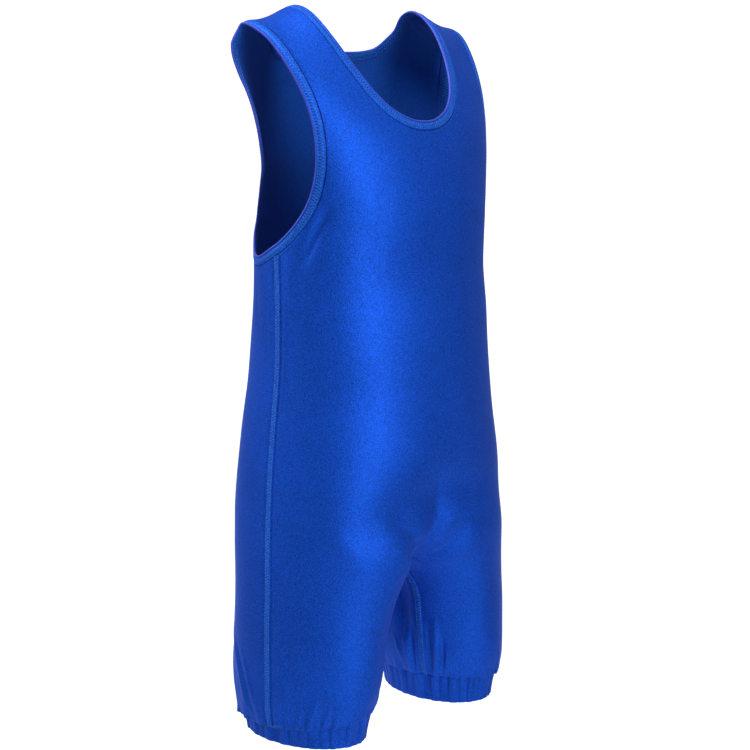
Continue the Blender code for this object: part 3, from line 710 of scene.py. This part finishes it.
def crease_path(panel, side, marks):
    """Points of the crease on the plain form: one smooth curve through its marks. A share over 1
    goes on past the centre line."""
    z_marks, share_marks = (np.array(marks) / (PER_METRE, 100.0)).T
    places, powers = np.linspace(0.0, 1.0, len(marks)), len(marks) - 1
    t = np.linspace(0.0, 1.0, CREASE_SAMPLES)
    z, share = (np.polyval(np.polyfit(places, m, powers), t) for m in (z_marks, share_marks))
    angles = angle_across(z, panel == "front", np.minimum(share, 2.0 - share))
    points = body_point(level_of(z), angles)
    points[:, 0] *= np.where(share > 1.0, -side, side)
    return points


def crease_lift(points, side):
    """Height that the creases add. They spread over seams and the centre line, but not to the
    other leg."""
    lift = np.zeros(len(points))
    fade = clamped((points[:, 2] - CROTCH_Z) / OTHER_SIDE_FADE)
    fade = fade * fade * (3.0 - 2.0 * fade)
    for panel, on_side, *marks, width, height in CREASES:
        path = crease_path(panel, on_side, marks)
        width, height = width / PER_METRE, height / PER_METRE
        margin = CREASE_REACH * width
        near = np.all((points > path.min(0) - margin) & (points < path.max(0) + margin), axis=1)
        starts, runs = path[:-1], np.diff(path, axis=0)
        offsets = points[near][:, None] - starts
        t = clamped((offsets * runs).sum(-1) / (runs**2).sum(-1))
        distances = np.linalg.norm(offsets - t[..., None] * runs, axis=-1)
        nearest = distances.argmin(axis=1)
        rows = np.arange(len(nearest))
        along = (nearest + t[rows, nearest]) / len(runs)
        taper = np.sin(math.pi * clamped(along)) ** CREASE_TAPER
        reach = height if on_side == side else height * fade[near]
        lift[near] += reach * taper * np.exp(-((distances[rows, nearest] / width) ** 2))
    return lift


def seam_grooves(levels, angles, side):
    """The cloth dips on each side of the side seam and of the inseam."""
    z = height_of(levels)
    _, around = surface_slopes(levels, angles, side)
    per_degree = np.linalg.norm(around, axis=1)
    depth = np.zeros(len(z))
    for seam, from_z in ((side_seam(z), SEAM_TOP_Z), (inner_edge(z), INSEAM_TOP_Z)):
        away = np.abs(angles - seam)
        away = np.minimum(away, np.abs(360.0 - away)) * per_degree
        there = clamped((from_z - z) / GROOVE_FADE)
        depth += GROOVE_DEPTH * there * np.exp(-(((away - GROOVE_AT) / GROOVE_WIDTH) ** 2))
    return depth


def softness(points):
    """Slow unevenness of stretched cloth."""
    x, y, z = points.T * math.tau
    waves = np.sin(x / WAVES_X[0] + 1.3 * np.sin(z / WAVES_Z[0]))
    waves += np.sin(y / WAVES_Y - z / WAVES_Z[1] + 0.7)
    waves += 0.7 * np.sin(z / WAVES_Z[2] + x / WAVES_X[1] + 2.1)
    return SOFTNESS * waves / 2.7


def above_band(z):
    """0 at the band's top, rising to 1 over the cloth."""
    return clamped((z - BAND_TOP_Z) / FOOT_FADE)


def crease_normal(levels, angles, side):
    """Outward normal, averaged up and down near the crotch, where the plain form bends sharply."""
    near = clamped(1.5 - np.abs(height_of(levels) - CROTCH_Z) / (2.0 * PARTING_CALM))
    steps = near * PARTING_CALM / LEVEL_HEIGHT
    shares = (-1.0, -0.5, 0.0, 0.5, 1.0)
    return unit(sum(outward_normal(levels + steps * share, angles, side) for share in shares))


def cloth_points(levels, angles, front, side, calm=1.0, sag=0.0):
    """Points of the dressed cloth over a grid of levels and angles."""
    shape = levels.shape
    calm, sag = (np.broadcast_to(value, shape).ravel() for value in (calm, sag))
    levels, angles = levels.ravel(), angles.ravel()
    plain = body_point(levels, angles, side)
    z = height_of(levels)
    start = side_seam(z)
    share = (angles - start) / (end_angles(z, front) - start)
    gathers = gather_shares(share, np.maximum(z - BAND_TOP_Z, 0.0), front, side)
    gathers = np.where(z < LEG_ROWS[-1], gathers, 0.0) * GATHER_HEIGHT
    lift = (crease_lift(plain, side) + softness(plain)) * calm * above_band(z)
    lift += sag - seam_grooves(levels, angles, side) * above_band(z)
    points = plain + crease_normal(levels, angles, side) * lift[:, None]
    points += horizontal_outward(levels, angles, side) * gathers[:, None]
    return points.reshape(*shape, 3)


def placed(name, data):
    """A new object in the scene."""
    item = bpy.data.objects.new(name, data)
    bpy.context.scene.collection.objects.link(item)
    return item


def new_mesh(name, points, faces, materials, slots=None, turned=False):
    """A smooth-shaded object that rides on the one body. Turned faces look the other way."""
    mesh = bpy.data.meshes.new(name)
    mesh.from_pydata(points.tolist(), [], [face[::-1] for face in faces] if turned else faces)
    for material in materials:
        mesh.materials.append(material)
    if slots is not None:
        mesh.polygons.foreach_set("material_index", slots)
    mesh.update()
    mesh.shade_smooth()
    piece = placed(name, mesh)
    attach(piece, "root")
    return piece


def grid_faces(rows, columns, first=0, closed=False):
    """Quads of a grid of points, with the columns joined round where it is closed."""
    faces = []
    for start in range(first, first + (rows - 1) * columns, columns):
        for j in range(columns if closed else columns - 1):
            a, b = start + j, start + (j + 1) % columns
            faces.append((a, a + columns, b + columns, b))
    return faces


def looped_faces(rows, columns, closed):
    """Quads of a grid whose last row joins its first."""
    total = rows * columns
    faces = grid_faces(rows + 1, columns, closed=closed)
    return [tuple(i % total for i in face) for face in faces]


def joining_faces(upper, upper_count, lower, lower_count):
    """Triangles between a crowded row and an even row, given their first points."""
    faces = []
    shares = crowded(upper_count - 1)
    i, j = 0, 0
    while i < upper_count - 1 or j < lower_count - 1:
        if j == lower_count - 1 or i < upper_count - 1 and shares[i + 1] < (j + 1) / (lower_count - 1):
            faces.append((upper + i, lower + j, upper + i + 1))
            i += 1
        else:
            faces.append((upper + i, lower + j, lower + j + 1))
            j += 1
    return faces


def panel_piece(name, front, armhole, neck, materials):
    """One panel of cloth, both halves welded along the centre line, with a thin wall."""
    shift = np.array([0.0, -SEAM_SHIFT if front else SEAM_SHIFT, 0.0])
    upper, lower = upper_grid(front, armhole, neck), lower_grid(front)
    calm, sag = calm_edges(upper[0]), strap_sag(upper[0])
    rows, columns = upper[0].shape
    halves = {side: cloth_points(*upper, front, side, calm, sag) for side in (1, -1)}
    whole = height_of(upper[0][:, -1]) > CROTCH_Z
    whole[: STRAP_ROWS * FINER] = False
    middle = (halves[1][whole, -1] + halves[-1][whole, -1]) / 2.0
    points, faces = [], []
    first = 0
    for side, half in halves.items():
        half[whole, -1] = middle
        foot = cloth_points(*lower, front, side)
        points += [half.reshape(-1, 3) + shift, foot.reshape(-1, 3) + shift]
        foot_first = first + rows * columns
        made = grid_faces(rows, columns, first) + grid_faces(*lower[0].shape, foot_first)
        made += joining_faces(foot_first - columns, columns, foot_first, lower[0].shape[1])
        faces += [face[::-1] for face in made] if (side == 1) == front else made
        first = foot_first + lower[0].size
    piece = new_mesh(name, np.vstack(points), faces, materials)
    weld = piece.modifiers.new("centre line", "WELD")
    weld.merge_threshold = WELD_DISTANCE
    wall = piece.modifiers.new("wall", "SOLIDIFY")
    wall.thickness, wall.offset = CLOTH_WALL, -1.0
    wall.material_offset = wall.material_offset_rim = 1
    return piece


def hem_piece(name, opening, side, materials):
    """Turned hem: its section carried round the opening."""
    rings = [opening.ring(*place, side) for place in np.array(HEM_SECTION) / PER_METRE]
    count = len(rings[0])
    faces = looped_faces(len(rings), count, True)
    slots = np.zeros(len(rings), int)
    slots[list(HEM_INSIDE_FACES)] = 1
    # Slot 2 is the turned_edge_painted_rim material: a painted pale violet rim reflection over the fold,
    # and the same colour on the cut face
    slots[[*HEM_PAINTED_RIM_FACES, HEM_CUT_FACE]] = 2
    turned = side * opening.towards == 1
    piece = new_mesh(name, np.vstack(rings), faces, materials, np.repeat(slots, count), turned)
    return piece


def band_piece(name, side, materials):
    """Gathered elastic band of one leg, closed at its foot."""
    top = BAND_TOP_Z - BAND_GAP
    foot = [(BAND_BOTTOM_Z + up, inset) for up, inset in np.array(BAND_FOOT) / PER_METRE]
    rows = [(z, 0.0) for z in np.linspace(top, foot[0][0], BAND_ROWS[0])] + foot[1:-1]
    rows += [(z, BAND_WALL) for z in np.linspace(foot[-1][0], top, BAND_ROWS[1])]
    rings = [band_ring(z, inset, side) for z, inset in rows]
    count = len(rings[0])
    faces = looped_faces(len(rings), count, True)
    inside = np.arange(len(rings)) >= BAND_ROWS[0] + len(BAND_FOOT) // 2
    slots = np.repeat(inside.astype(int), count)
    piece = new_mesh(name, np.vstack(rings), faces, materials, slots, side == 1)
    return piece


def band_ring(z, inset, side):
    """One ring of the band: the gathers of the front and the back in one round."""
    fallen = (BAND_TOP_Z - z) / (BAND_TOP_Z - BAND_BOTTOM_Z)
    tall = float(np.interp(fallen, *zip(*BAND_GATHERS)))
    parts = []
    for front in (True, False):
        share = foot_shares(front)
        levels, angles = level_of(z) + 0.0 * share, angle_across(z, front, share)
        lift = gather_shares(share, 0.0, front, side) * tall - inset
        outward = horizontal_outward(levels, angles, side)
        ring = body_point(levels, angles, side) + outward * lift[:, None]
        parts.append(ring[:-1] if front else ring[::-1][:-1])
    return np.vstack(parts)


def seam_rail(z, angle_of, side, distance, height):
    """A line beside a seam and over the cloth: points and outward normals."""
    levels, angles = level_of(z), angle_of(z)
    _, around = surface_slopes(levels, angles, side)
    beside = angles + distance / np.linalg.norm(around, axis=1)
    plain = body_point(levels, beside, side)
    lift = softness(plain) * above_band(z) + height
    normals = outward_normal(levels, beside, side)
    return plain + normals * lift[:, None], normals


def strip_piece(name, z, angle_of, side, materials):
    """Flat seam that covers two joined edges."""
    section = np.array(STRIP_SECTION) / PER_METRE
    rails = [seam_rail(z, angle_of, side, *place)[0] for place in section]
    faces = looped_faces(len(rails), len(z), False)
    faces.append(tuple(range(0, len(rails) * len(z), len(z))))
    faces.append(tuple(range(len(rails) * len(z) - 1, -1, -len(z))))
    piece = new_mesh(name, np.vstack(rails), faces, materials, turned=side == -1)
    return piece


def threads_piece(name, sets, material):
    """Many short round threads in one mesh. Each set is paths (threads, points, 3) and normals."""
    points, faces = [], []
    first = 0
    turns = np.linspace(0.0, math.tau, THREAD_SIDES, endpoint=False)
    for paths, normals in sets:
        along = unit(np.gradient(paths, axis=1))
        sideways = unit(np.cross(along, normals))
        up = np.cross(sideways, along)
        ring = sideways[:, :, None] * np.cos(turns)[:, None] + up[:, :, None] * np.sin(turns)[:, None]
        tubes = paths[:, :, None] + THREAD_RADIUS * ring
        points.append(tubes.reshape(-1, 3))
        threads, rows = paths.shape[:2]
        size = rows * THREAD_SIDES
        for k in range(threads):
            base = first + k * size
            faces += grid_faces(rows, THREAD_SIDES, base, closed=True)
            faces.append(tuple(base + i for i in range(THREAD_SIDES)))
            faces.append(tuple(base + size - 1 - i for i in range(THREAD_SIDES)))
        first += threads * size
    piece = new_mesh(name, np.vstack(points), faces, [material])
    return piece


def arched(starts, ends, normals, height, steps):
    """Paths from starts to ends that rise over the cloth between them. Half the thread's radius
    stays in the cloth at both ends."""
    t = np.linspace(0.0, 1.0, steps)
    bow = height * np.sin(math.pi * t) ** ARCH_POWER - THREAD_RADIUS * 0.5
    paths = starts[:, None] * (1.0 - t)[:, None] + ends[:, None] * t[:, None]
    normals = np.repeat(normals[:, None], steps, axis=1)
    return paths + normals * bow[None, :, None], normals


def cover_stitches(left, right, normals):
    """Two needle rows with threads crossing between them, along two rails."""
    lengths = lengths_along((left + right) / 2.0)
    count = round(lengths[-1] / STITCH_PITCH)
    marks = np.linspace(0.0, lengths[-1], count + 1)
    a, b, n = (resampled(rail, lengths, marks) for rail in (left, right, normals))
    sets = []
    for rail in (a, b):
        gap = (rail[1:] - rail[:-1]) * NEEDLE_GAP
        sets.append(arched(rail[:-1] + gap, rail[1:] - gap, n[:-1], *NEEDLE_ARCH))
    middle = (a[:-1] + a[1:]) / 2.0
    sets.append(arched(b[:-1], middle, n[:-1], *CROSSING_ARCH))
    sets.append(arched(middle, b[1:], n[:-1], *CROSSING_ARCH))
    return sets


def hem_stitches(name, opening, side, material):
    """The stitches of a hem, over it and on its inside."""
    sets = []
    for height, rise in HEM_THREADS:
        rails = []
        for distance, level in zip((*HEM_NEEDLE_ROWS, HEM_NEEDLE_ROWS[0]), (height, height, rise)):
            ring = opening.ring(distance, level, side)
            rails.append(np.vstack([ring, ring[:1]]))
        sets += cover_stitches(rails[0], rails[1], unit(rails[2] - rails[0]))
    return threads_piece(name, sets, material)


def seam_stitches(name, z, angle_of, side, material):
    left, right = (
        seam_rail(z, angle_of, side, distance, STRIP_THREAD_HEIGHT)[0]
        for distance in (-STRIP_NEEDLE_ROW, STRIP_NEEDLE_ROW)
    )
    normals = seam_rail(z, angle_of, side, 0.0, 0.0)[1]
    return threads_piece(name, cover_stitches(left, right, normals), material)


# Tricot: dark and light tone, metallic, roughness, sheen, grain
TRICOT = {
    "tricot_outside": ((0.0026, 0.032, 0.24), (0.0092, 0.094, 0.69), 0.6, 0.5, 0.12, 0.4),
    "tricot_inside": ((0.0045, 0.045, 0.26), (0.009, 0.082, 0.46), 0.2, 0.6, 0.15, 0.3),
    # turned_edge_painted_rim: its lighter, violet tones are a painted rim reflection, the pale sheen along
    # the fold at each opening
    "turned_edge_painted_rim": ((0.03, 0.042, 0.3), (0.06, 0.075, 0.52), 0.2, 0.45, 0.4, 0.2),
}
SPECKLE_SCALE, SPECKLE_DETAIL, SPECKLE_SPAN = 1150.0, 3.0, (0.36, 0.64)
MOTTLE_SCALE, MOTTLE_DEPTH = 16.0, 0.1
WALE_SCALE, WALE_STRETCH, WALE_HEIGHT = 1000.0, (1.0, 1.0, 0.55), 0.0003
THREAD_TONES = ((0.004, 0.06, 0.3), (0.026, 0.21, 0.76))
THREAD_SCALE, THREAD_SPAN = 900.0, (0.35, 0.65)


def node_inputs(node, **values):
    """Set a node's inputs. An underscore stands for a space in a name."""
    for name, value in values.items():
        node.inputs[name.replace("_", " ")].default_value = value


def linked(tree, kind, source, output, target, **values):
    """New texture-side node, with one link in and its values set."""
    node = tree.nodes.new(f"ShaderNode{kind}")
    node_inputs(node, **values)
    tree.links.new(source.outputs[output], node.inputs[target])
    return node


def new_material(name):
    """A material with its node tree, its shader and a node for places on the object."""
    material = bpy.data.materials.new(name)
    material.use_nodes = True
    tree = material.node_tree
    return material, tree, tree.nodes["Principled BSDF"], tree.nodes.new("ShaderNodeTexCoord")


def toned(tree, shader, source, output, span, tones):
    """Colour the shader by a ramp between two tones."""
    ramp = linked(tree, "ValToRGB", source, output, "Fac")
    for element, position, tone in zip(ramp.color_ramp.elements, span, tones):
        element.position, element.color = position, (*tone, 1.0)
    tree.links.new(ramp.outputs["Color"], shader.inputs["Base Color"])


def cloth_material(name, dark, light, metallic, roughness, sheen, grain):
    """Stretch tricot: bright filament in fine wales, mottled in the size of its stitches."""
    material, tree, shader, place = new_material(name)
    node_inputs(shader, Metallic=metallic, Roughness=roughness)
    node_inputs(shader, Specular_IOR_Level=0.3, Specular_Tint=(0.2, 0.45, 1.0, 1.0))
    node_inputs(shader, Sheen_Weight=sheen, Sheen_Roughness=0.4, Sheen_Tint=(0.3, 0.42, 1.0, 1.0))
    speckle = linked(tree, "TexNoise", place, "Object", "Vector", Scale=SPECKLE_SCALE)
    node_inputs(speckle, Detail=SPECKLE_DETAIL)
    slow = linked(tree, "TexNoise", place, "Object", "Vector", Scale=MOTTLE_SCALE)
    level = linked(tree, "Math", slow, "Fac", 0)
    level.operation = "MULTIPLY_ADD"
    level.inputs[1].default_value = MOTTLE_DEPTH
    level.inputs[2].default_value = -MOTTLE_DEPTH / 2.0
    both = linked(tree, "Math", level, "Value", 0)
    tree.links.new(speckle.outputs["Fac"], both.inputs[1])
    toned(tree, shader, both, "Value", SPECKLE_SPAN, (dark, light))
    stretch = linked(tree, "Mapping", place, "Object", "Vector", Scale=WALE_STRETCH)
    wale = linked(tree, "TexVoronoi", stretch, "Vector", "Vector", Scale=WALE_SCALE)
    bump = linked(tree, "Bump", wale, "Distance", "Height", Strength=grain)
    node_inputs(bump, Distance=WALE_HEIGHT)
    tree.links.new(bump.outputs["Normal"], shader.inputs["Normal"])
    return material


def thread_material():
    material, tree, shader, place = new_material("stitch_thread")
    node_inputs(shader, Roughness=0.6, Specular_IOR_Level=0.25)
    twist = linked(tree, "TexNoise", place, "Object", "Vector", Scale=THREAD_SCALE)
    toned(tree, shader, twist, "Fac", THREAD_SPAN, THREAD_TONES)
    return material


def build_cloth():
    hem = [cloth_material(name, *values) for name, values in TRICOT.items()]
    cloth, outside, thread = hem[:2], hem[0], thread_material()
    armhole, neck = armhole_opening(), neck_opening()
    front = panel_piece("front_cloth", True, armhole, neck, cloth)
    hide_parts("front_panel")
    back = panel_piece("back_cloth", False, armhole, neck, cloth)
    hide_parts("back_panel")
    neck_hem = hem_piece("neck_turned_hem", neck, 1, hem)
    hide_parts("neck_hem")
    neck_threads = hem_stitches("neck_stitches", neck, 1, thread)
    for word, side in (("left", 1), ("right", -1)):
        piece = hem_piece(f"armhole_turned_hem_{word}", armhole, side, hem)
        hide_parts(f"armhole_hem_{word}")
        threads = hem_stitches(f"armhole_stitches_{word}", armhole, side, thread)
        band = band_piece(f"leg_elastic_band_{word}", side, cloth)
        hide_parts(f"leg_band_{word}")
        side_z = np.linspace(SEAM_TOP_Z, SEAM_FOOT_Z, SEAM_POINTS)
        inner_z = np.linspace(INSEAM_TOP_Z, SEAM_FOOT_Z, INSEAM_POINTS)
        for kind, z, angle_of in (("side", side_z, side_seam), ("inner", inner_z, inner_edge)):
            strip_piece(f"{kind}_seam_{word}", z, angle_of, side, [outside])
            seam_stitches(f"{kind}_seam_stitches_{word}", z, angle_of, side, thread)


# Studio: a pale floor that sweeps up far behind the garment, and soft lights
MIDDLE = (0.0, -0.02, -0.36)
FLOOR_Z = -1.5
VIEW_AZIMUTH = math.radians(-45.0)
SWEEP_WIDTH = 4.2
SWEEP_SECTION = ((-3.0, 0.0), (6.0, 0.0), (6.4, 0.05), (6.8, 0.22), (7.0, 0.5), (7.1, 2.6))
GLOW_FROM, GLOW_TO, GLOW = 1.3, 1.8, 0.75
PAPER_GREY = 0.85
ROOM_LIGHT = 0.2
# Light: degrees round from the wearer's front towards the left, degrees up, distance, width,
# height, power
LIGHTS = (
    ("key", -6.0, 14.0, 2.5, 0.8, 2.4, 46.0),
    ("right_side", -136.0, 38.0, 2.3, 0.9, 1.8, 54.0),
    ("top", -60.0, 74.0, 2.0, 1.0, 1.0, 36.0),
)
CAMERA_PLACE = (-1.2217, -1.2531, -0.09)
CAMERA_PITCH = math.radians(9.0)
CAMERA_LENS = 82.8
CAMERA_SENSOR = 36.0


def build_stage():
    """One swept sheet, level under the garment and upright behind it as the camera sees it."""
    ahead = np.array([-math.sin(VIEW_AZIMUTH), math.cos(VIEW_AZIMUTH), 0.0])
    across_view = np.array([ahead[1], -ahead[0], 0.0]) * SWEEP_WIDTH / 2.0
    rows = [ahead * far + np.array([0.0, 0.0, FLOOR_Z + up]) for far, up in SWEEP_SECTION]
    points = np.array([row + way * across_view for row in rows for way in (-1.0, 1.0)])
    mesh = bpy.data.meshes.new("sweep")
    mesh.from_pydata(points.tolist(), [], grid_faces(len(rows), 2))
    mesh.shade_smooth()
    material, tree, shader, place = new_material("pale_paper")
    node_inputs(shader, Base_Color=(PAPER_GREY, PAPER_GREY, PAPER_GREY, 1.0), Roughness=0.9)
    node_inputs(shader, Emission_Color=(1.0, 1.0, 1.0, 1.0))
    turn = (0.0, 0.0, -VIEW_AZIMUTH)
    turned = linked(tree, "Mapping", place, "Object", "Vector", Rotation=turn)
    split = linked(tree, "SeparateXYZ", turned, "Vector", "Vector")
    glow = linked(tree, "MapRange", split, "Y", "Value", To_Max=GLOW)
    node_inputs(glow, From_Min=GLOW_FROM, From_Max=GLOW_TO)
    tree.links.new(glow.outputs["Result"], shader.inputs["Emission Strength"])
    mesh.materials.append(material)
    placed("sweep", mesh)
    world = bpy.data.worlds.new("studio")
    bpy.context.scene.world = world
    world.use_nodes = True
    background = world.node_tree.nodes["Background"]
    node_inputs(background, Color=(1.0, 1.0, 1.0, 1.0), Strength=ROOM_LIGHT)


def build_lights():
    for name, turn, rise, distance, width, height, power in LIGHTS:
        turn, rise = math.radians(turn), math.radians(rise)
        level = math.cos(rise)
        way = Vector((math.sin(turn) * level, -math.cos(turn) * level, math.sin(rise)))
        data = bpy.data.lights.new(name, "AREA")
        data.shape = "RECTANGLE"
        data.size, data.size_y = width, height
        data.energy = power
        light = placed(name, data)
        light.location = Vector(MIDDLE) + way * distance
        light.rotation_euler = (-way).to_track_quat("-Z", "Y").to_euler()


def build_camera():
    data = bpy.data.cameras.new("camera")
    data.sensor_width, data.lens = CAMERA_SENSOR, CAMERA_LENS
    camera = placed("camera", data)
    camera.location = CAMERA_PLACE
    ahead = Vector((-math.sin(VIEW_AZIMUTH), math.cos(VIEW_AZIMUTH), 0.0))
    forward = ahead * math.cos(CAMERA_PITCH) - Vector((0.0, 0.0, math.sin(CAMERA_PITCH)))
    camera.rotation_euler = forward.to_track_quat("-Z", "Y").to_euler()
    bpy.context.scene.camera = camera


def main():
    bpy.context.scene.view_settings.view_transform = "Standard"
    build_camera()
    build_stage()
    build_lights()
    build_cloth()


main()
